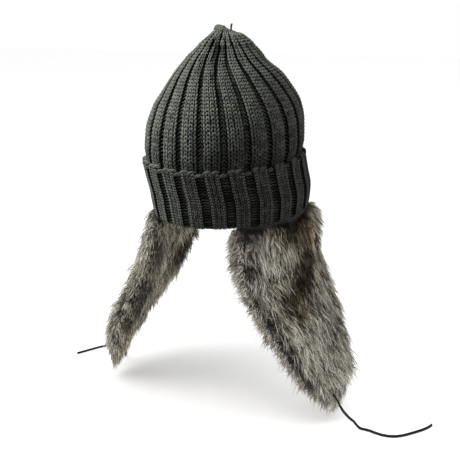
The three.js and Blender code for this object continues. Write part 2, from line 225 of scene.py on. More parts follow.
class Graph:
    """The nodes of one material, made from a type, its settings and its sockets' values."""

    def __init__(self, name, roughness=0.8, **constants):
        self.material = bpy.data.materials.new(name)
        self.material.use_nodes = True
        self.tree = self.material.node_tree
        self.shader = self.tree.nodes["Principled BSDF"]
        self.set("Roughness", roughness)
        for socket, value in constants.items():
            self.set(socket.replace("_", " "), value)

    def set(self, socket, value):
        target = self.shader.inputs[socket]
        if isinstance(value, Shade):
            self.tree.links.new(value.socket, target)
        else:
            target.default_value = value

    def node(self, kind, settings=None, sockets=None, output=0):
        made = self.tree.nodes.new(kind)
        for name, value in (settings or {}).items():
            if name == "stops":
                ramp = made.color_ramp
                while len(ramp.elements) < len(value):
                    ramp.elements.new(1.0)
                for element, (place, colour) in zip(ramp.elements, value):
                    element.position, element.color = place, (*colour, 1.0)
            else:
                setattr(made, name, value)
        for name, value in (sockets or {}).items():
            if isinstance(value, Shade):
                self.tree.links.new(value.socket, made.inputs[name])
            else:
                made.inputs[name].default_value = value
        return Shade(self, made.outputs[output])

    def attribute(self, name):
        return self.node("ShaderNodeAttribute", {"attribute_name": name}, output="Fac")

    def noise(self, scale, detail=2.0, roughness=0.5):
        place = self.node("ShaderNodeTexCoord", output="Object")
        sockets = {"Vector": place, "Scale": scale, "Detail": detail, "Roughness": roughness}
        return self.node("ShaderNodeTexNoise", {}, sockets)

    def ramp(self, value, *stops):
        """Stops are places and screen colours."""
        stops = [(place, linear(*colour)) for place, colour in stops]
        return self.node("ShaderNodeValToRGB", {"stops": stops}, {"Fac": value})

    def mix(self, share, first, second):
        sockets = {0: share, 6: first, 7: second}
        return self.node("ShaderNodeMix", {"data_type": "RGBA"}, sockets, output=2)

    def bump(self, height, distance, strength=1.0):
        sockets = {"Height": height, "Distance": distance, "Strength": strength}
        self.set("Normal", self.node("ShaderNodeBump", {}, sockets))


SCREEN_GAMMA = 2.2


def linear(*colour):
    """A colour as it looks on screen, 0 to 255, as the shader's own light values."""
    return tuple((value / 255) ** SCREEN_GAMMA for value in colour)


# Tables and their curves.
def pchip(levels, columns, name, up):
    """One column of a table at any heights, on the same smooth curve as the solids."""
    rows = np.array(sorted(levels), dtype=float)
    x, y = rows[:, 0], rows[:, columns.index(name)]
    step = np.diff(x)
    slope = np.diff(y) / step
    before, after = slope[:-1], slope[1:]
    product = before * after
    total = np.where(before + after == 0, 1, before + after)
    tangent = np.concatenate([[slope[0]], np.where(product <= 0, 0, 2 * product / total), [slope[-1]]])
    at = np.clip(up, x[0], x[-1])
    i = np.clip(np.searchsorted(x, at) - 1, 0, len(x) - 2)
    t = (at - x[i]) / step[i]
    start = y[i] * (1 + 2 * t) * (1 - t) ** 2 + tangent[i] * step[i] * t * (1 - t) ** 2
    end = y[i + 1] * t * t * (3 - 2 * t) + tangent[i + 1] * step[i] * t * t * (t - 1)
    return start + end


def crown_level(name, up):
    return pchip(CROWN_LEVELS, CROWN_COLUMNS, name, up)


def smooth(value, low, high):
    share = np.clip((value - low) / (high - low), 0, 1)
    return share * share * (3 - 2 * share)


def unit(vectors):
    return vectors / np.maximum(np.linalg.norm(vectors, axis=-1, keepdims=True), 1e-9)


def gutter(rib_count, up, share=GUTTER_SHARE):
    """How deep in a gutter a place is, and near the peak every second gutter closes."""
    part = rib_count - np.floor(rib_count)
    near = 1 - smooth(np.minimum(part, 1 - part), 0, share / 2)
    odd = np.round(rib_count).astype(int) % 2 != 0
    return np.where(odd, near * (1 - smooth(up, 192, 206)), near)


def turn_at(rib_count, up):
    """Degrees round the cap from the middle of its back, for a place counted in ribs."""
    return FIRST_GUTTER + rib_count * 360 / RIBS + crown_level("twist", up)


def bumps(rows, place, up, around=False):
    """How strong a table's soft bumps are at places, all together, on a panel or around the cap."""
    total = np.zeros(np.broadcast(place, up).shape)
    for at, height, wide, tall, strong in rows:
        away = place - at
        if around:
            away = (away + 540) % 360 - 180
        total = total + strong * np.exp(-(away / wide) ** 2 - ((up - height) / tall) ** 2)
    return total


def knit_point(rib_count, up, inside=0.0, groove=0.0, dents=0.0, height=None, share=GUTTER_SHARE):
    """Points of the knit's outer face, or that far inside it."""
    rib_count, up = np.broadcast_arrays(np.asarray(rib_count, float), np.asarray(up, float))
    turn = turn_at(rib_count, up)
    inset = inside + groove * gutter(rib_count, up, share) + dents * bumps(DENTS, turn, up, True)
    across = crown_level("breadth", up) - inset
    along = crown_level("length", up) - inset
    lean = crown_level("lean", up)
    angle, toward = np.radians(turn), math.radians(LEAN_TURN)
    return np.stack([
        -lean * math.sin(toward) - across * np.sin(angle),
        lean * math.cos(toward) + along * np.cos(angle),
        up if height is None else np.broadcast_to(height, up.shape),
    ], -1)


# Meshes.
def mesh_object(name, vertices, quads=(), triangles=(), attributes=None, uv=None, material=None):
    """A smooth object from millimetre points. uv gives one pair for each corner of each face."""
    quads = np.asarray(quads, dtype=np.int32).reshape(-1, 4)
    triangles = np.asarray(triangles, dtype=np.int32).reshape(-1, 3)
    mesh = bpy.data.meshes.new(name)
    mesh.vertices.add(len(vertices))
    mesh.vertices.foreach_set("co", np.ascontiguousarray(vertices * MM, dtype=np.float32).ravel())
    corners = np.concatenate([quads.ravel(), triangles.ravel()])
    mesh.loops.add(len(corners))
    mesh.loops.foreach_set("vertex_index", corners)
    starts = np.concatenate([
        np.arange(len(quads)) * 4,
        len(quads) * 4 + np.arange(len(triangles)) * 3,
    ]).astype(np.int32)
    mesh.polygons.add(len(starts))
    mesh.polygons.foreach_set("loop_start", starts)
    mesh.polygons.foreach_set("use_smooth", np.ones(len(starts), dtype=bool))
    mesh.update(calc_edges=True)
    for key, values in (attributes or {}).items():
        layer = mesh.attributes.new(key, "FLOAT", "POINT")
        layer.data.foreach_set("value", np.asarray(values, dtype=np.float32).ravel())
    if uv is not None:
        layer = mesh.uv_layers.new(name="OFBake")
        layer.data.foreach_set("uv", np.asarray(uv, dtype=np.float32).ravel())
    made = bpy.data.objects.new(name, mesh)
    bpy.context.collection.objects.link(made)
    if material is not None:
        mesh.materials.append(material)
    return made


# Cells of the strands' colour map: height for a width of 1, and the share filled across and up.
CELL_HEIGHT = 4.5
CELL_FILLED = np.array([0.8, 0.86])


def tubes(name, lines, radii, outward, sides=4, flat=1.0, attributes=None, material=None):
    """Closed tapering tubes as one mesh. lines is (count, points, 3) and radii (count, points - 2):
    the first and last points are the tubes' tips. outward is each tube's own upper side, and flat
    is the thickness along it as a share of the width. Each tube gets a cell of the colour map."""
    count, points = lines.shape[:2]
    rings = points - 2
    along = unit(lines[:, 2:] - lines[:, :-2])
    up = np.broadcast_to(outward, along.shape) if outward.ndim == 3 else outward[:, None, :]
    aside = unit(np.cross(along, up))
    over = unit(np.cross(aside, along)) * flat
    angles = (np.arange(sides) + 0.5) * 2 * math.pi / sides
    ring = (
        aside[:, :, None, :] * np.cos(angles)[:, None]
        + over[:, :, None, :] * np.sin(angles)[:, None]
    ) * radii[:, :, None, None] + lines[:, 1:-1, None, :]
    vertices = np.concatenate([ring.reshape(count, -1, 3), lines[:, :1], lines[:, -1:]], 1)
    each = rings * sides + 2
    k = np.arange(sides)
    after = (k + 1) % sides
    base, tip, last = rings * sides, rings * sides + 1, (rings - 1) * sides
    triangles = np.concatenate([
        np.stack([np.full(sides, base), after, k], -1),
        np.stack([last + k, last + after, np.full(sides, tip)], -1),
    ])
    offsets = np.arange(count)[:, None, None] * each
    all_quads = (grid_faces(rings, sides) + offsets).reshape(-1, 4)
    all_triangles = (triangles + offsets).reshape(-1, 3)

    rise = (np.arange(rings) + 1) / (rings + 1)
    low, high = np.repeat(rise[:-1], sides), np.repeat(rise[1:], sides)
    left, right = k / sides, (k + 1) / sides
    lefts, rights = np.tile(left, rings - 1), np.tile(right, rings - 1)
    quad_uv = np.stack([lefts, low, rights, low, rights, high, lefts, high], -1).reshape(-1, 4, 2)
    middle, bottom, top = (left + right) / 2, np.full(sides, rise[0]), np.full(sides, rise[-1])
    triangle_uv = np.concatenate([
        np.stack([middle, np.zeros(sides), right, bottom, left, bottom], -1),
        np.stack([left, top, right, top, middle, np.ones(sides)], -1),
    ]).reshape(-1, 3, 2)
    columns = max(1, int(math.ceil(math.sqrt(count * CELL_HEIGHT))))
    rows = int(math.ceil(count / columns))
    number = np.arange(count)
    cell = np.stack([number % columns / columns, number // columns / rows], -1)
    span = CELL_FILLED / (columns, rows)
    corner = (cell + (1 - CELL_FILLED) / 2 / (columns, rows))[:, None, None]
    uv = np.concatenate([(corner + part * span).reshape(-1, 2) for part in (quad_uv, triangle_uv)])
    shares = np.concatenate([np.repeat(rise, sides), [0, 1]])
    layers = {"along": np.broadcast_to(shares, (count, each))}
    for key, values in (attributes or {}).items():
        layers[key] = np.broadcast_to(np.asarray(values)[:, None], (count, each))
    return mesh_object(name, vertices.reshape(-1, 3), all_quads, all_triangles, layers, uv, material)


def grid_faces(rows, columns, closed=True):
    """Quads of a grid of points in rows, closed round its columns or open."""
    row, column = np.meshgrid(np.arange(rows - 1), np.arange(columns if closed else columns - 1),
                              indexing="ij")
    after = (column + 1) % columns
    return np.stack([row * columns + column, row * columns + after,
                     (row + 1) * columns + after, (row + 1) * columns + column], -1).reshape(-1, 4)


def dress(piece, slot, *nodes):
    """A piece of the cap: it rides with the cap and stands for its solids."""
    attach(piece, "root")
    if nodes:
        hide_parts(*nodes)


# Materials.
LIGHTEST_MARL = 1.6 ** (1 / SCREEN_GAMMA)


def yarn_material(name, light, dark, deep, gloss):
    """Marled wool: each stitch has its own tone, broken by fine fibres, and its ends are darkened toward
    the deep colour as painted shade where they dip into the knit.
    """
    graph = Graph(name, roughness=0.92, Specular_IOR_Level=gloss, Sheen_Weight=0.03, Sheen_Roughness=0.5)
    tone, along = graph.attribute("tone"), graph.attribute("along")
    fibres = graph.noise(900, detail=3, roughness=0.7)
    patches = graph.noise(45, detail=2)
    marl = (tone * 0.7 + fibres * 0.5 + patches * 0.5 - 0.35).clamp()
    lightest = [value * LIGHTEST_MARL for value in light]
    colour = graph.ramp(marl, (0.0, dark), (0.5, light), (1.0, lightest))
    # Painted shade: each leg darkens toward its ends, where it sinks between its neighbours.
    ends = ((along - 0.5).size() * 2.0) ** 2.2
    graph.set("Base Color", graph.mix((ends * 1.1).clamp(), colour, (*linear(*deep), 1)))
    graph.bump(fibres, 0.0006, 0.6)
    return graph.material


def base_material(name, deep, light):
    """The knit's ground behind the stitches: near black as painted shade in the gaps between them, with
    the rows' faint relief.
    """
    graph = Graph(name, roughness=0.95, Specular_IOR_Level=0.05)
    fibres = graph.noise(700, detail=3, roughness=0.7)
    graph.set("Base Color", graph.ramp(fibres, (0.3, deep), (0.8, light)))
    graph.bump(fibres, 0.0012, 0.7)
    return graph.material


def inside_material(name, dark, light):
    """The knit's inner face: small V stitches in rows, drawn by height and colour, with their hollows
    painted darker as shade.
    """
    graph = Graph(name, roughness=0.95)
    rows, wales = graph.attribute("rows"), graph.attribute("wales")
    across = (wales.share() - 0.5).size()
    chevron = (rows + across * 1.1).share()
    plump = (chevron * FULL_TURN).wave() * 0.5 + 0.5
    height = plump * (1.0 - (across * 2.0) ** 6.0)
    fibres = graph.noise(800, detail=3, roughness=0.7)
    tone = (height * 0.7 + fibres * 0.45 - 0.08).clamp()
    graph.set("Base Color", graph.ramp(tone, (0.05, dark), (0.9, light)))
    graph.bump(height + fibres * 0.25, 0.0022, 0.9)
    return graph.material


def fur_material(name):
    """Long pile: dark at the root, grey along the hair and pale toward the tip of some hairs; where
    under is set the roots darken further, with painted shade along the seam and the dark spots.
    """
    graph = Graph(name, roughness=0.6, Specular_IOR_Level=0.3)
    along, tone, brown, under = (
        graph.attribute(key) for key in ("along", "tone", "brown", "under"))
    fine = graph.noise(350, detail=2)
    # Painted shade: the roots of hairs marked under are darkened further.
    rooted = under * 0.8 * (1.5 - along * 2.2).clamp()
    reach = (along * 0.42 + tone * 0.82 - 0.08 + (fine - 0.5) * 0.3 - rooted).clamp()
    grey = graph.ramp(
        reach,
        (0.0, (27, 28, 28)),
        (0.25, (88, 85, 77)),
        (0.5, (157, 152, 140)),
        (0.75, (221, 217, 204)),
        (1.0, (250, 248, 239)),
    )
    warm = graph.ramp(
        reach,
        (0.0, (12, 9, 6)),
        (0.35, (46, 36, 26)),
        (0.65, (116, 101, 77)),
        (1.0, (217, 204, 175)),
    )
    graph.set("Base Color", graph.mix(brown.clamp(), grey, warm))
    return graph.material


def pile_material(name):
    """The dense short pile under the long hairs."""
    graph = Graph(name, roughness=0.9)
    tufts = graph.noise(260, detail=4, roughness=0.7)
    broad = graph.noise(35, detail=2)
    tone = (tufts * 0.8 + broad * 0.4 - 0.2).clamp()
    graph.set("Base Color", graph.ramp(
        tone, (0.2, (14, 13, 13)), (0.6, (40, 36, 33)), (0.9, (84, 78, 71))))
    graph.bump(tufts, 0.004, 1.0)
    return graph.material


def lace_material(name):
    """Black lace: a fine lengthwise grain in its colour, roughness and bump."""
    graph = Graph(name, roughness=0.5, Specular_IOR_Level=0.25)
    grain = graph.noise(1400, detail=3, roughness=0.6)
    broad = graph.noise(90, detail=2)
    colour = graph.ramp((grain * 0.6 + broad * 0.4).clamp(),
                        (0.3, (6, 6, 7)), (0.8, (26, 25, 27)))
    graph.set("Base Color", colour)
    graph.set("Roughness", (0.42 + grain * 0.3).clamp())
    graph.bump(grain, 0.0003, 0.5)
    return graph.material


def floor_material():
    graph = Graph("floor", roughness=0.9)
    speck = graph.noise(30, detail=3)
    graph.set("Base Color", graph.ramp(speck, (0.3, (250, 250, 250)), (0.7, (253, 253, 253))))
    return graph.material


# The laces.
def smooth_route(points, per_span):
    """A Catmull-Rom curve through the points."""
    points = np.array(points, dtype=float)
    padded = np.concatenate([[2 * points[0] - points[1]], points, [2 * points[-1] - points[-2]]])
    t = np.linspace(0, 1, per_span, endpoint=False)[:, None]
    curve = []
    for a, b, c, d in zip(padded, padded[1:], padded[2:], padded[3:]):
        curve.append(0.5 * (2 * b + (c - a) * t + (2 * a - 5 * b + 4 * c - d) * t ** 2
                            + (3 * b - a - 3 * c + d) * t ** 3))
    return np.concatenate([*curve, points[-1:]])


def make_lace(side, material):
    """A flat lace: it leaves the fur on edge, and turns half flat where it lies."""
    centre = smooth_route(LACE_ROUTES[side], 6)
    fallen = smooth(-centre[:, 2], 228, 238)
    forward = unit(np.gradient(centre, axis=0))
    on_edge = unit(np.cross(forward, UP))
    flat_up = np.cross(on_edge, forward)
    flat = LACE_FLAT * fallen[:, None]
    up = unit(on_edge * (1 - flat) + flat_up * flat)
    aside = np.cross(forward, up)
    half, thick, bevel = LACE_WIDTH / 2, LACE_THICK / 2, 0.28
    tall = half * np.abs(aside[:, 2]) + thick * np.abs(up[:, 2])
    centre[:, 2] += fallen * (FLOOR + 0.1 + tall - centre[:, 2])
    section = [
        (half, -thick + bevel), (half, thick - bevel), (half - bevel, thick), (-half + bevel, thick),
        (-half, thick - bevel), (-half, -thick + bevel), (-half + bevel, -thick), (half - bevel, -thick),
    ]
    sides = len(section)
    rings = np.stack([centre + aside * x + up * y for x, y in section], 1)
    count = len(centre)
    vertices = np.concatenate([rings.reshape(-1, 3), centre[:1], centre[-1:]])
    k = np.arange(sides)
    start, end = count * sides, count * sides + 1
    last = (count - 1) * sides
    caps = np.concatenate([
        np.stack([np.full(sides, start), (k + 1) % sides, k], -1),
        np.stack([np.full(sides, end), last + k, last + (k + 1) % sides], -1),
    ])
    lace = mesh_object(f"lace_{side}", vertices, grid_faces(count, sides), caps, material=material)
    path = centre * MM
    dress(lace, "lace", f"tie_{side}")


# The crown: its ground's columns and drawn wales for each rib, and its rows, lanes and stitches.
COLUMNS_EACH_RIB = 8
WALES_EACH_RIB = 4
KNIT_ROW_INSIDE = 1.05
CROWN_ROW = 4.2
CROWN_FROM = 58
CROWN_MIDDLE = np.array([0, 0, 60.0])
MERGED_FROM = 199
RIB_LANES = 3
LANE_MIN = 3.1
STITCH_SINK = 1.15
PURL_OUT, PURL_SINK = 0.3, 0.8
RIB_BULGE = 1.5


def crown_groove(up):
    return CROWN_GROOVE + (PEAK_GROOVE - CROWN_GROOVE) * smooth(up, 150, 205)


def rib_bulge(rib_count, share):
    """How far a rib's rounded face stands out: 1 in its middle and 0 by the gutters."""
    part = np.asarray(rib_count) - np.floor(rib_count)
    return np.sin(math.pi * np.clip((part - share / 2) / (1 - share), 0, 1))


# Deeper shadows in the gathers of the peak, added to the dents.
GATHERS = (
    (17, 172, 3.4, 14, 6.0),
    (12, 190, 4.6, 13, 8.0),
    (8, 203, 7, 8, 6.0),
    (22, 187, 9, 10, 4.0),
    (31, 182, 4.0, 13, 6.0),
    (50, 180, 3.0, 14, 3.5),
    (356, 184, 3.5, 20, 3.5),
)
# The tip slumps by this much on the side that the crown leans to.
TIP_SLUMP = 5.5


def gather_depth(rib_count, up):
    return bumps(GATHERS, turn_at(rib_count, up), up, True)


def capped_gather(rib_count, up):
    return np.minimum(gather_depth(rib_count, up), 0.4 * crown_level("breadth", up))


def crown_surface(rib_count, up, inside=0.0):
    groove = crown_groove(up) * smooth(up, 60, 67) * (1 - 0.6 * smooth(up, 207, 214))
    inside = inside + capped_gather(rib_count, up)
    bulge = RIB_BULGE * rib_bulge(rib_count, GUTTER_SHARE * 0.7) * (1 - smooth(up, 192, 206))
    away = np.radians(turn_at(rib_count, up) - LEAN_TURN)
    slump = TIP_SLUMP * smooth(up, 202, 213) * (0.5 + 0.5 * np.cos(away))
    return knit_point(rib_count, up, inside=inside - bulge, groove=groove * 1.25, dents=1.0,
                      height=up - slump)


def crown_radius(up):
    return (crown_level("breadth", up) + crown_level("length", up)) / 2


def crown_rows():
    """Heights of the crown's knitted rows, even along its slope from under the cuff to the peak."""
    up = np.linspace(CROWN_FROM, CROWN_LEVELS[-1][0], 800)
    radius = crown_radius(up)
    slope = np.concatenate([[0], np.cumsum(np.hypot(np.diff(up), np.diff(radius)))])
    count = int(slope[-1] / CROWN_ROW)
    return np.interp((np.arange(count) + 0.5) * slope[-1] / count, slope, up)


def surface_frame(surface, rib_count, up, step=0.6, round_step=0.04):
    """A place on a knit surface: its point, and the directions round, up and out of it."""
    point = surface(rib_count, up)
    rise = unit(surface(rib_count, up + step) - surface(rib_count, up - step))
    around = unit(surface(rib_count + round_step, up) - surface(rib_count - round_step, up))
    outward = unit(np.cross(rise, around))
    outward *= np.sign((outward * (point - CROWN_MIDDLE)).sum(-1, keepdims=True))
    return point, around, rise, outward


def crown_lanes():
    """Each knit column of the crown where it has room: rib places, heights and column widths."""
    rib_places, heights, widths = [], [], []
    for up in crown_rows():
        merged = up > MERGED_FROM
        ribs = RIBS // 2 if merged else RIBS
        pitch = 2 * math.pi * float(crown_radius(up)) / ribs
        face = 1 - (GUTTER_SHARE * (0.5 if merged else 0.9))
        lanes = RIB_LANES
        while lanes > 1 and pitch * face / lanes < LANE_MIN:
            lanes -= 1
        share = 0.5 + face * ((np.arange(lanes) + 0.5) / lanes - 0.5)
        rib_places.extend(((np.arange(ribs)[:, None] + share) * (RIBS / ribs)).ravel())
        heights.extend([up] * ribs * lanes)
        widths.extend([pitch * face / lanes] * ribs * lanes)
    return np.array(rib_places), np.array(heights), np.array(widths)


def v_stitches(name, frames, widths, heights, material, flip=1.0, light=0.5, thick_share=0.25):
    """Knit V stitches: two plump yarn legs from each place, spreading up and sinking at their ends."""
    point, around, rise, outward = frames
    count = len(point)
    width, height = (np.broadcast_to(size, count)[:, None] for size in (widths, heights))
    thick = np.minimum(width * thick_share, height * 0.33)
    jitter = rng.normal(0, 0.035, (count, 2, 2))
    lines, radii, ups = [], [], []
    for number, side in enumerate((-1, 1)):
        x = side * width * np.array([0.07, 0.15, 0.27, 0.38, 0.43]) + jitter[:, number, :1] * width
        y = height * np.array([-0.62, -0.34, 0.06, 0.5, 0.84]) + jitter[:, number, 1:] * height
        z = thick * np.array([-0.9, 0.05, 0.42, 0.12, -0.8])
        lines.append(point[:, None] + around[:, None] * x[..., None]
                     + rise[:, None] * (flip * y)[..., None] + outward[:, None] * z[..., None])
        radii.append(thick * np.array([0.86, 1.0, 0.84]))
        ups.append(outward)
    tone = light + rng.normal(0, 0.2, count)
    tones = np.clip(np.concatenate([tone, tone + rng.normal(0, 0.08, count)]), 0, 1)
    stitches = tubes(name, np.concatenate(lines), np.concatenate(radii), np.concatenate(ups),
                     sides=4, flat=0.85, attributes={"tone": tones}, material=material)
    dress(stitches, "yarn")


def gutter_rows(name, surface, rows, rib_numbers, spans, row_heights, dip, waves, material, light,
                thick=0.24):
    """Purl rows in the gutters: one wavy strand across each gutter in each row."""
    points = 8
    t = np.linspace(-1, 1, points)
    rib, up, span, tall = (
        np.broadcast_to(a, len(rows))[:, None] for a in (rib_numbers, rows, spans, row_heights))
    places = rib + span * t * 0.5
    wander = rng.normal(0, 0.12, (len(rib), 1))
    if waves == 1:
        shape = dip * (np.abs(t) ** 1.3 - 0.5)
    else:
        shape = dip * np.cos(t * math.pi * waves + wander * 3)
    heights = up + tall * (shape + wander * 0.3)
    base, _, _, outward = surface_frame(surface, places, heights)
    ends = np.where(np.abs(t) > 0.99, -PURL_SINK, PURL_OUT)[:, None]
    lines = base + outward * ends
    radius = np.minimum(tall * thick, 1.1) * np.array([0.8, 1, 1.05, 1.05, 1, 0.8])
    tones = np.clip(light + rng.normal(0, 0.22, len(rows)), 0, 1)
    strands = tubes(name, lines, radius, outward[:, 3], sides=4, attributes={"tone": tones},
                    material=material)
    dress(strands, "yarn")


def make_crown(yarn, shaded_gutter_yarn, base, inner):
    heights = crown_rows()
    row_up = np.abs(np.gradient(heights))
    place, up, width = crown_lanes()
    frames = surface_frame(lambda r, u: crown_surface(r, u, inside=STITCH_SINK), place, up)
    # Painted shade and light in the stitches' tone: darker low down by the cuff's rim and in the
    # gathers, where shade falls, and paler toward the top, which the light falls on.
    light = 0.5 - 0.58 * (1 - smooth(up, 64, 120)) + 0.14 * smooth(up, 140, 190)
    light -= 0.13 * gather_depth(place, up)
    v_stitches("crown_stitches", frames, width, CROWN_ROW, yarn, light=light)

    keep = heights < 205
    rib, rows = np.meshgrid(np.arange(RIBS), heights[keep], indexing="ij")
    scale = np.broadcast_to(row_up[keep], rib.shape).ravel()
    rib, rows = rib.ravel(), rows.ravel()
    # The gutters' rows darken higher up, where the gutters are deeper, and in the gathers: painted shade
    # in their tone.
    gutter_rows(
        "crown_gutters", lambda r, u: crown_surface(r, u, inside=1.7 + 1.1 * smooth(u, 120, 165)),
        rows, rib, 0.33, scale, 0.34, 1.5, shaded_gutter_yarn,
        light=0.5 - 0.38 * smooth(rows, 118, 170) - 0.1 * gather_depth(rib, rows))

    outer_up = np.linspace(FOLD_HEIGHT + GAP, CROWN_LEVELS[-1][0], 46)
    columns = RIBS * COLUMNS_EACH_RIB
    places = np.arange(columns) / COLUMNS_EACH_RIB
    outer = np.stack([crown_surface(places, up, inside=2.2 if up > 60 else 0.4) for up in outer_up])
    inner_up = np.linspace(196, FOLD_HEIGHT + GAP, 28)
    inner_rings = np.stack([
        knit_point(places, up, inside=WALL + capped_gather(places, up), dents=1.0) for up in inner_up])
    pucker = crown_surface(places, 214.0, inside=2.2) * np.array([0.35, 0.35, 1]) - np.array([0, 0, 5.5])
    crest = knit_point(places, 198.0, inside=WALL + 16) + np.array([0, 0, 2.0])
    count, inside_count = len(outer) + 1, len(inner_rings) + 1
    rings = np.concatenate([outer, pucker[None], crest[None], inner_rings])
    middles = rings[count - 1:count + 1].mean(1)
    vertices = np.concatenate([rings.reshape(-1, 3), middles])
    k = np.arange(columns)
    after = (k + 1) % columns
    last = (len(rings) - 1) * columns
    quads = np.concatenate([
        grid_faces(count, columns), grid_faces(inside_count, columns) + count * columns,
        np.stack([last + k, last + after, after, k], -1),
    ])
    close = np.concatenate([
        np.stack([start + k, start + after, np.full(columns, middle)], -1)[:, ::turn]
        for start, middle, turn in (
            ((count - 1) * columns, len(vertices) - 2, 1), (count * columns, len(vertices) - 1, -1))
    ])
    all_rows = np.concatenate([np.arange(count), np.arange(inside_count) * KNIT_ROW_INSIDE])
    layers = {"rows": np.append(np.repeat(all_rows, columns), [0, 0]),
              "wales": np.append(np.tile(places * WALES_EACH_RIB, len(rings)), [0, 0])}
    ground = mesh_object("crown", vertices, quads, close, layers, material=base)
    ground.data.materials.append(inner)
    index = np.zeros(len(ground.data.polygons), dtype=np.int32)
    index[(count - 1) * columns:last] = 1
    index[-columns:] = 1
    ground.data.polygons.foreach_set("material_index", index)
    dress(ground, "yarn", "crown")


# The cuff.
CUFF_ROW = 3.2
CUFF_GUTTER = 0.44
CUFF_GROOVE_LOOK = 4.0
CUFF_BULGE = 1.2
CUFF_EDGE = 0.20
RIM_NOTCH = 3.4


def cuff_surface(rib_count, down, inside=0.0):
    """Points of the cuff's outer face by the distance down from its rim, round under the fold."""
    down = np.broadcast_to(np.asarray(down, float), np.broadcast(rib_count, down).shape)
    straight = CUFF_HEIGHT - 4.0
    past = np.clip(down - straight, 0, None)
    bend = np.clip(past / 4.0, 0, math.pi / 2 + 0.4)
    up = np.maximum(CUFF_HEIGHT - down, 4.0)
    height = np.where(past > 0, 4.0 - 4.0 * np.sin(bend), CUFF_HEIGHT - down)
    tuck = np.where(past > 0, 4.0 * (1 - np.cos(bend)), 0)
    fade = 1 - 0.35 * smooth(past, 0, 6)
    bulge = CUFF_BULGE * rib_bulge(rib_count, CUFF_GUTTER * 0.8) * fade
    return knit_point(rib_count, up, inside=inside + tuck - bulge - (CUFF_WALL + GAP),
                      groove=CUFF_GROOVE_LOOK * fade, height=height, share=CUFF_GUTTER)


def make_cuff(yarn, shaded_gutter_yarn, base):
    pitch = 2 * math.pi * 98 / RIBS
    face = 1 - CUFF_GUTTER * 0.92
    downs = np.arange(3.4, CUFF_HEIGHT + 3.5, CUFF_ROW)

    def frame_at(r, d, inside):
        point, around, rise, outward = surface_frame(lambda a, b: cuff_surface(a, b, inside), r, d)
        return point, around, -rise, outward

    # Two plump columns edge each rib, with two finer columns sunk between them; the edge columns' paler
    # tone is painted light and the sunk ones' darker tone painted shade.
    edge_lanes = (-0.5 + CUFF_EDGE / 2, 0.5 - CUFF_EDGE / 2)
    middle_lanes = (-0.15, 0.15)
    for name, lanes, wide, light, tall, thick, sink in (
        ("cuff_edge_stitches", edge_lanes, CUFF_EDGE, 0.85, 0.7, 0.29, 0.4),
        ("cuff_middle_stitches", middle_lanes, 0.3, 0.24, 0.9, 0.2, 1.7),
    ):
        rib, lane, down = (a.ravel() for a in np.meshgrid(
            np.arange(RIBS), np.array(lanes), downs, indexing="ij"))
        place = rib + 0.5 + face * lane
        v_stitches(name, frame_at(place, down, sink), pitch * face * wide, CUFF_ROW * tall, yarn,
                   flip=-1.0, light=light, thick_share=thick)

    rib, rows = np.meshgrid(np.arange(RIBS), downs, indexing="ij")
    # The cuff's gutter rows take a low tone: painted shade in their recesses.
    gutter_rows("cuff_gutters", lambda r, d: cuff_surface(r, d, 1.6), rows.ravel(), rib.ravel(),
                CUFF_GUTTER * 0.96, CUFF_ROW, 0.24, 2.0, shaded_gutter_yarn, light=0.2, thick=0.3)
    make_rim(yarn)

    columns = RIBS * COLUMNS_EACH_RIB
    places = np.arange(columns) / COLUMNS_EACH_RIB
    notch = RIM_NOTCH * gutter(places, 0.0, CUFF_GUTTER)
    outer = [cuff_surface(places, d, 2.0) for d in np.linspace(1.5, CUFF_HEIGHT + 3.2, 26)]
    inner = [
        knit_point(places, 2.5, inside=WALL - 0.8),
        knit_point(places, FOLD_HEIGHT, inside=WALL),
        knit_point(places, FOLD_HEIGHT, inside=-GAP),
        *(knit_point(places, up, inside=-GAP) for up in (25, 45, 62)),
        knit_point(places, CUFF_HEIGHT, inside=-(CUFF_WALL / 2 + GAP),
                   height=CUFF_HEIGHT - 0.6 - notch),
    ]
    rings = np.stack([*outer, *inner])
    closed = np.concatenate([rings, rings[:1]])
    quads = grid_faces(len(closed), columns) % (len(rings) * columns)
    ground = mesh_object("cuff", rings.reshape(-1, 3), quads, material=base)
    dress(ground, "yarn", "cuff")


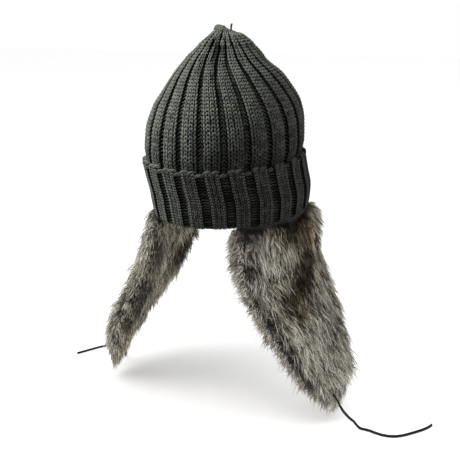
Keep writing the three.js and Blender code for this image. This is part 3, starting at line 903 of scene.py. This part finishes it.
def make_rim(yarn):
    """The cast-on edge: slanting loops of plied yarn over the cuff's rim, three to each rib."""
    shares = np.array([0.0, 0.35, 0.67])
    count, plies = RIBS * len(shares), 4
    start = (np.arange(RIBS)[:, None] + shares).ravel() + rng.normal(0, 0.03, count)
    t = np.linspace(-1, 1, 9)
    places = start[:, None] + rng.uniform(0.19, 0.27, (count, 1)) * t
    notch = RIM_NOTCH * gutter(start, np.zeros(count), CUFF_GUTTER)[:, None]
    inside = -(CUFF_WALL + GAP) + CUFF_WALL / 2 + (CUFF_WALL / 2 - 0.2) * np.sin(t * 1.3)
    lift = 2.6 * np.cos(t * 1.5) + rng.normal(0, 0.5, (count, 1))
    base = knit_point(places, np.full(places.shape, float(CUFF_HEIGHT)), inside=inside,
                      height=CUFF_HEIGHT - 3.2 + lift - notch, share=CUFF_GUTTER)
    along = unit(np.gradient(base, axis=1))
    aside = unit(np.cross(along, UP))
    over = np.cross(aside, along)
    angle = (np.arange(plies) / plies * 2 * math.pi)[:, None] + 2.4 * t
    angle = angle + rng.uniform(0, 6, (count, 1, 1))
    spread = rng.uniform(1.2, 1.7, (count, 1, 1, 1)) * np.cos(t * 1.2)[:, None]
    lines = (
        base[:, None] + (aside[:, None] * np.cos(angle)[..., None]
                         + over[:, None] * np.sin(angle)[..., None]) * spread
    ).reshape(count * plies, len(t), 3)
    radii = rng.uniform(0.8, 1.1, (count * plies, 1)) * np.array([0.7, 0.9, 1, 1, 1, 0.9, 0.7])
    pale = 0.55 - 0.45 * np.tile(shares < 0.1, RIBS)
    tones = np.repeat(rng.normal(pale, 0.12), plies) + rng.normal(0, 0.16, count * plies)
    rim = tubes("cuff_rim", lines, radii, np.broadcast_to(UP, (count * plies, 3)), sides=5,
                attributes={"tone": np.clip(tones, 0, 1)}, material=yarn)
    dress(rim, "yarn")


# The fur: its backing and pile in depth, and its hairs' number, shares, clumps and rise.
BACKING = 2
PILE = {1: 9, -1: 14}
HAIRS = 18600
LONG_HAIRS = 0.32
EDGE_HAIRS = 0.27
TOP_HAIRS = 0.06
TIP_HAIRS = 0.03
CLUMPS = 440
REAR_SHARE = 0.64
WISPS = {"right": 0.14, "left": 0.2}
HAIR_LIFT = 11.5
# Mean and spread of the hairs' lengths, and the least and most of the others.
LONG_LENGTH, SHORT_LENGTH = (26, 4.5), (19, 3.5)
EDGE_LENGTH, WISP_LENGTH, HAIR_RADIUS = (10, 19), (7, 13), (0.26, 0.44)


def flap_point(side, across, up):
    levels = FLAP_LEVELS[side]
    read = {name: pchip(levels, FLAP_COLUMNS, name, up) for name in FLAP_COLUMNS[1:]}
    turned = np.radians(read["turned"])
    reach = across * read["width"] / 2
    bow = read["bow"] * (1 - across * across)
    out = read["out"] + reach * np.sin(turned) + bow * np.cos(turned)
    back = read["back"] - reach * np.cos(turned) + bow * np.sin(turned)
    return np.stack([SIGN[side] * out, back, np.broadcast_to(up, out.shape)], -1)


def flap_frame(side, across, up):
    forward = unit(flap_point(side, across + 0.01, up) - flap_point(side, across - 0.01, up))
    down = unit(flap_point(side, across, up - 1) - flap_point(side, across, up + 1))
    outward = unit(np.cross(forward, down))
    outward *= np.sign(outward[..., :1] * SIGN[side])
    return forward, down, outward


def pile_depth(face, across, up):
    to_top = 0.2 + 0.8 * smooth(-up, 0, 24)
    to_tip = 1 - 0.5 * smooth(-up, 165, 206)
    return BACKING + PILE[face] * to_top * to_tip * (1 - 0.55 * np.abs(across) ** 3)


def make_flap(side, face, hair, pile):
    name = f"flap_{side}_{'outer' if face > 0 else 'inner'}"
    bottom = FLAP_LEVELS[side][-1][0]

    rows, columns = 60, 36
    up, across = np.meshgrid(np.linspace(-GAP, bottom, rows), np.linspace(-1, 1, columns), indexing="ij")
    _, _, outward = flap_frame(side, across, up)
    middle = flap_point(side, across, up)
    depth = pile_depth(face, across, up) * 0.8 * (1 - 0.5 * smooth(-up, 175, 206))
    front = middle + outward * (face * depth)[..., None]
    back = middle + outward * (face * GAP / 2)
    front[0, :, 2] = back[0, :, 2] = -GAP
    vertices = np.concatenate([front.reshape(-1, 3), back.reshape(-1, 3)])
    skin = grid_faces(rows, columns, closed=False)
    total = rows * columns
    index = np.arange(total).reshape(rows, columns)
    border = np.concatenate([index[0], index[1:, -1], index[-1, -2::-1], index[-2:0:-1, 0]])
    edge = np.stack([border, np.roll(border, -1), np.roll(border, -1) + total, border + total], -1)
    flip = face * SIGN[side]
    quads = np.concatenate([skin[:, ::flip], (skin + total)[:, ::-flip], edge[:, ::-flip]])
    body = mesh_object(name, vertices, quads, material=pile)
    dress(body, "fur", name)

    make_coat(side, face, hair)


def strand_tones(count):
    """Each hair's paleness: some dark, most grey and some nearly white."""
    kind = rng.random(count)
    low = np.select([kind < 0.3, kind < 0.68], [0.0, 0.3], 0.68)
    high = np.select([kind < 0.3, kind < 0.68], [0.25, 0.62], 1.0)
    return rng.uniform(low, high)


def make_coat(side, face, hair):
    """One panel's hairs: they lie down along the flap in loose clumps, flare at its edges and
    cover the strip between its two layers with short wisps."""
    name = f"flap_{side}_{'outer' if face > 0 else 'inner'}"
    levels = FLAP_LEVELS[side]
    bottom = levels[-1][0]
    tries = bottom * rng.random(HAIRS * 3)
    keep = rng.random(len(tries)) < (pchip(levels, FLAP_COLUMNS, "width", tries) + 22) / 160
    up = tries[keep][:HAIRS]
    count = len(up)
    kind = rng.random(count)
    at_top = kind < TOP_HAIRS
    at_tip = (kind > TOP_HAIRS) & (kind < TOP_HAIRS + TIP_HAIRS)
    at_edge = kind > 1 - EDGE_HAIRS
    long = rng.random(count) < LONG_HAIRS
    up = np.where(at_top, -rng.uniform(0.8, 12, count), np.minimum(up, -0.8))
    up = np.where(at_tip, bottom + rng.uniform(0.5, 16, count), up)
    rear_side = rng.random(count) < REAR_SHARE
    edge = np.where(rear_side, -1, 1) * rng.uniform(0.96, 1.0, count)
    across = np.where(at_edge, edge, rng.uniform(-1, 1, count))

    forward, down, outward = flap_frame(side, across, up)
    gathered = 0.6 * smooth(-up, 168, 206)
    depth = pile_depth(face, across, up) * (1 - 0.55 * gathered)
    height = np.where(at_edge | at_tip, rng.uniform(0, 0.95, count), 0.6)
    at_rear = at_edge & (across < 0)
    wisp = at_rear & (rng.random(count) < WISPS[side]) & (up < -16)
    surface_point = flap_point(side, across, up)
    root = surface_point + outward * (face * depth * height)[:, None]

    clump_up = bottom * rng.random(CLUMPS)
    clump_across = rng.uniform(-1, 1, CLUMPS)
    centre = flap_point(side, clump_across, clump_up)
    nearest = np.argmin(((surface_point[:, None] - centre[None]) ** 2).sum(-1), 1)
    toward = (centre[nearest] - surface_point) * np.where(at_edge, 0, 1)[:, None]
    lean = rng.normal(0, 0.25, CLUMPS)[nearest] + rng.normal(0, 0.17, count)
    rise = rng.normal(0, 0.18, CLUMPS)[nearest] + rng.normal(0, 0.16, count)

    rear, fore = np.clip(-across, 0, 1), np.clip(across, 0, 1)
    near_top = 1 - smooth(-up, 4, 34)
    if face > 0:
        sweep = (0.28 + 0.35 * near_top) * fore ** 3 + 0.10 * rear ** 3
        edge_sweep = np.where(across < 0, -0.3, 0.45 + 1.1 * near_top)
    else:
        sweep = 0.25 * fore ** 3 - 0.55 * rear ** 2
        edge_sweep = np.where(across < 0, -1.15, 0.45)
    sweep = np.where(at_edge, edge_sweep + rng.normal(0, 0.35, count), sweep + lean)
    sweep = np.where(wisp, rng.normal(-0.2, 1.0, count), sweep)
    flare = near_top * fore ** 3
    tilt = face * (0.5 * flare - 0.3 * gathered)
    comb = unit(down + forward * sweep[:, None] + outward * tilt[:, None])
    length = np.where(long, rng.normal(*LONG_LENGTH, count), rng.normal(*SHORT_LENGTH, count))
    length = np.where(at_edge, rng.uniform(*EDGE_LENGTH, count) * (1 + 0.35 * near_top * fore), length)
    if face > 0:
        length = np.where(at_rear, length * (0.3 + 0.3 * height), length)
    else:
        fringe = 1.0 + 0.45 * (1 - smooth(-up, 30, 110))
        length = np.where(at_rear, length * (0.5 + 0.6 * height) * fringe, length)
    length = np.where(wisp, rng.uniform(*WISP_LENGTH, count), length)
    length *= (0.8 + 0.2 * smooth(-up, 0, 30)) * (1 - 0.1 * smooth(-up, 150, 200))
    stand = np.clip(0.55 + rise + 0.45 * near_top * fore, 0.15, 1.4)
    if side == "left" and face > 0:
        stand = stand - 0.34 - 0.2 * (1 - smooth(-up, 30, 60)) + 0.55 * (rng.random(count) < 0.12)
    stand = np.where(at_edge, rng.uniform(-0.2, 0.5, count) + 0.5 * flare, stand)
    stand *= 1 - 0.6 * smooth(-up, 150, 206)

    phase = rng.uniform(0, 2 * math.pi, (count, 1))
    reach = rng.uniform(0.6, 2.2, (count, 1)) * np.where(at_edge, 1.4, 1.0)[:, None]
    lowest = FLOOR + 0.6 + 1.5 * rng.random((count, 1))
    thick = rng.uniform(*HAIR_RADIUS, count)
    tone = np.clip(strand_tones(count) + rng.normal(0, 0.15, CLUMPS)[nearest], 0, 1)
    # under darkens the hairs' roots: painted shade in the groove of the rear seam, and below it also
    # takes in the patches' shade and dark spots.
    under = np.where(at_rear, 1.0, 0.8 * smooth(-across, 0.68, 0.95))
    if side == "left" and face > 0:
        under = under * np.where(at_rear & (kind < 0.9), 0.8, 0.15)
    elif side == "left":
        under = under * np.where(up < -90, 0.6, 0.9)
    panel = side, face
    brown = WARMTH[side] + INNER_WARMTH[face] + bumps(BROWN_PATCHES.get(panel, ()), across, up)
    brown = np.clip(brown + rng.normal(0, 0.1, count), 0, 1)
    # The patches darken the hairs' tone: painted shade under the cuff and along the seam, and the dark
    # cores of brown patches and dark spots; paler where negative.
    dim = np.clip(bumps(DARK_SPOT_AND_SHADE_PATCHES.get(panel, ()), across, up), -0.8, 1.3)
    tone = np.clip(tone * (1 - 0.7 * dim), 0, 1)
    tone = np.where(wisp, rng.uniform(0.7, 1.0, count), tone)
    under = np.where(wisp, 0.0, np.clip(under + 1.1 * np.clip(dim, 0, 1), 0, 1.4))

    for part, chosen, shares, taper in (
        ("hair", long, (0.0, 0.3, 0.68, 1.0), (1.0, 0.8)),
        ("short_hair", ~long, (0.0, 0.5, 1.0), (1.0,)),
    ):
        shares = np.array(shares)
        wave = np.sin(shares * 3.4 + phase) - np.sin(phase)
        line = (
            root[:, None]
            + comb[:, None] * (length[:, None] * shares)[..., None]
            + outward[:, None] * (face * HAIR_LIFT * stand[:, None] * np.sin(shares * 1.75))[..., None]
            + toward[:, None] * (0.38 * shares ** 1.6)[None, :, None]
            + np.cross(comb, outward)[:, None] * (reach * wave)[..., None]
        )
        line[..., 2] = np.clip(line[..., 2], lowest, -1.0)
        layers = {"tone": tone[chosen], "brown": brown[chosen], "under": under[chosen]}
        coat = tubes(f"{name}_{part}", line[chosen], (thick[:, None] * np.array(taper))[chosen],
                     outward[chosen], sides=3, attributes=layers, material=hair)
        dress(coat, "fur", name)


# Where each panel's fur turns dark brown: place across, height, how wide, how tall, how strong.
BROWN_PATCHES = {
    ("right", 1): (
        (-0.20, -4, 0.30, 14, 1.2), (0.16, -44, 0.20, 24, 1.2), (-0.04, -68, 0.22, 18, 1.1),
        (-0.40, -86, 0.22, 20, 1.2), (0.36, -8, 0.34, 16, 1.0), (0.34, -28, 0.36, 16, 0.5),
        (0.80, -60, 0.25, 60, 0.3),
    ),
    ("left", 1): (
        (0.1, -70, 0.4, 34, 0.9), (0.3, -12, 0.5, 20, 0.3),
    ),
    ("left", -1): (
        (0.80, -58, 0.40, 24, 0.5),
    ),
}
# Where the fur is darker: painted shade under the cuff and along the seam, and the darker cores of brown
# patches and other dark spots; paler where negative.
DARK_SPOT_AND_SHADE_PATCHES = {
    ("right", 1): (
        (-0.16, -2, 0.20, 10, 0.8), (-0.46, -4, 0.10, 9, -0.6), (0.16, -46, 0.16, 20, 0.8),
        (-0.05, -70, 0.18, 14, 0.7), (-0.42, -86, 0.18, 17, 0.9), (0.30, -6, 0.30, 9, 0.4),
        (-0.90, -4, 0.12, 8, 1.1), (-0.62, -3, 0.22, 9, 0.3), (0.62, -24, 0.16, 14, -0.5),
        (0.90, -50, 0.20, 18, -0.6), (-0.2, -118, 0.14, 12, 0.5), (0.3, -104, 0.12, 16, 0.5),
        (-1.0, -136, 0.18, 80, 1.15), (-0.66, -36, 0.20, 24, -0.7), (-0.70, -78, 0.12, 26, -0.4),
        (0.0, -150, 0.7, 40, -0.25),
    ),
    ("left", 1): (
        (-1.0, -110, 0.10, 120, 0.7), (0.9, -100, 0.2, 90, -0.5), (0.35, -52, 0.16, 12, 0.9),
        (-0.25, -84, 0.16, 14, 0.8), (0.2, -116, 0.14, 12, 0.8), (-0.3, -140, 0.16, 14, 0.7),
        (0.3, -160, 0.16, 10, 0.6), (-0.88, -134, 0.09, 24, 1.4), (-0.5, -76, 0.60, 110, -1.1),
        (-1.0, -100, 0.50, 14, 1.3),
    ),
    ("left", -1): (
        (-1.0, -60, 0.24, 60, 0.6), (-0.92, -124, 0.12, 26, 0.7), (0.80, -58, 0.34, 24, 0.9),
        (0.55, -86, 0.24, 16, 0.5), (-0.35, -100, 0.45, 60, -0.8), (-1.0, -30, 0.30, 16, 0.8),
        (-0.7, -80, 0.25, 10, 1.2), (-1.0, -100, 0.30, 14, 1.2), (-0.9, -138, 0.30, 8, 1.0),
    ),
}
# How brown each side's fur is all over, and how much browner the inner panels are.
WARMTH = {"right": 0.19, "left": 0.42}
INNER_WARMTH = {1: 0.0, -1: 0.2}


# The knob and the short yarn end that close the peak.
KNOB_PLACE = (5.0, 2.7, 208.8)
KNOB_ALONG = (0.75, 0.4, 0.42)
KNOB_SIZE = (8.2, 4.9)


def make_yarn_tail(material):
    count = 7
    t = np.linspace(0, 1, 7)
    start = np.array([-8.0, 0.4, 206.0])
    angle = np.arange(count) * 2 * math.pi / count
    spread = np.stack([np.cos(angle), np.sin(angle), np.zeros(count)], -1)
    twist = 0.6 * (1 + 0.4 * t ** 3)
    middle = start + np.array([-0.6, -0.3, 11.0]) * t[:, None]
    middle = middle + np.array([0.8, 0.4, 0]) * np.sin(t * 3)[:, None]
    line = middle + spread[:, None] * twist[:, None]
    radii = np.full((count, 5), 0.5)
    up = np.broadcast_to(np.array([0.0, 1, 0]), (count, 3))
    tail = tubes("yarn_tail", line, radii, up, sides=5,
                 attributes={"tone": rng.random(count) * 0.4}, material=material)
    dress(tail, "yarn")


def make_knob(material):
    """The last stitches, drawn together into a small plump knob beside the yarn end."""
    axis = unit(np.array(KNOB_ALONG))
    over = unit(np.cross(np.cross(axis, UP), axis))
    aside = np.cross(axis, over)
    count = 11
    t = np.linspace(0.04, 0.96, 9)
    angle = np.arange(count)[:, None] * 2 * math.pi / count + 0.7 * t
    half_long, half_wide = KNOB_SIZE
    lines = (
        np.array(KNOB_PLACE)
        + axis * (half_long * np.cos(math.pi * t))[None, :, None]
        + (over * np.cos(angle)[..., None] + aside * np.sin(angle)[..., None])
        * (half_wide * np.sin(math.pi * t))[None, :, None]
    )
    radii = rng.uniform(1.35, 1.8, (count, 1)) * np.array([0.5, 0.8, 1, 1, 1, 0.8, 0.5])
    up = unit(lines.mean(1) - np.array(KNOB_PLACE))
    knob = tubes("crown_knob", lines, radii, up, sides=6,
                 attributes={"tone": rng.uniform(0.35, 0.85, count)}, material=material)
    dress(knob, "yarn")


def make_floor():
    bpy.ops.mesh.primitive_plane_add(size=8, location=(0, 0, FLOOR * MM))
    floor = bpy.context.object
    floor.name = "floor"
    floor.data.materials.append(floor_material())


# Lamps: name, place, size, power, colour, and how the names of what it lights start, where it is
# flagged off the rest.
LAMPS = (
    ("key", (0.75, 0.95, 1.3), 1.2, 12.5, (1.0, 0.98, 0.94), ()),
    ("top", (-0.5, 0.2, 1.6), 1.5, 14, (0.98, 0.99, 1.0), ("crown", "cuff", "yarn", "floor")),
    ("softbox", (1.05, 0.5, 1.35), 0.8, 172, (0.98, 1.0, 1.0), ("crown", "cuff", "yarn")),
)


def make_light():
    """Even white light all round and the lamps, which make the knit's sheen."""
    scene = bpy.context.scene
    scene.world = bpy.data.worlds.new("studio")
    scene.world.use_nodes = True
    background = scene.world.node_tree.nodes["Background"]
    background.inputs["Color"].default_value = (1, 1, 1, 1)
    background.inputs["Strength"].default_value = 1.0
    for name, place, size, power, colour, starts in LAMPS:
        data = bpy.data.lights.new(name, "AREA")
        data.energy, data.size, data.color = power, size, colour
        light = bpy.data.objects.new(name, data)
        scene.collection.objects.link(light)
        light.location = place
        light.rotation_euler = (-Vector(place)).to_track_quat("-Z", "Y").to_euler()
        if starts:
            lit = bpy.data.collections.new(f"lit_by_{name}")
            for thing in bpy.data.objects:
                if thing.name.startswith(starts):
                    lit.objects.link(thing)
            light.light_linking.receiver_collection = lit
    scene.view_settings.view_transform = "Standard"


make_camera()
lace = lace_material("lace")
for flap_side in ("right", "left"):
    make_lace(flap_side, lace)

yarn = yarn_material("yarn", (51, 53, 48), (15, 16, 14), (2, 2, 2), 0.2)
# The gutters' yarn is the same yarn, painted darker as shade in the gutters' recesses.
shaded_gutter_yarn = yarn_material("yarn_shaded_in_gutters", (48, 50, 46), (5, 6, 5), (0, 0, 0), 0.08)
# The ground between the stitches is painted near black: shade in the gaps.
shaded_ground = base_material("knit_shaded_ground", (2, 2, 2), (11, 12, 11))
inner_knit = inside_material("knit_inside", (10, 11, 10), (66, 69, 64))
make_crown(yarn, shaded_gutter_yarn, shaded_ground, inner_knit)
make_cuff(yarn, shaded_gutter_yarn, shaded_ground)
make_knob(yarn)
make_yarn_tail(yarn)

fur, under_fur = fur_material("fur"), pile_material("fur_pile")
for flap_side in ("right", "left"):
    for flap_face in (1, -1):
        make_flap(flap_side, flap_face, fur, under_fur)

make_floor()
make_light()
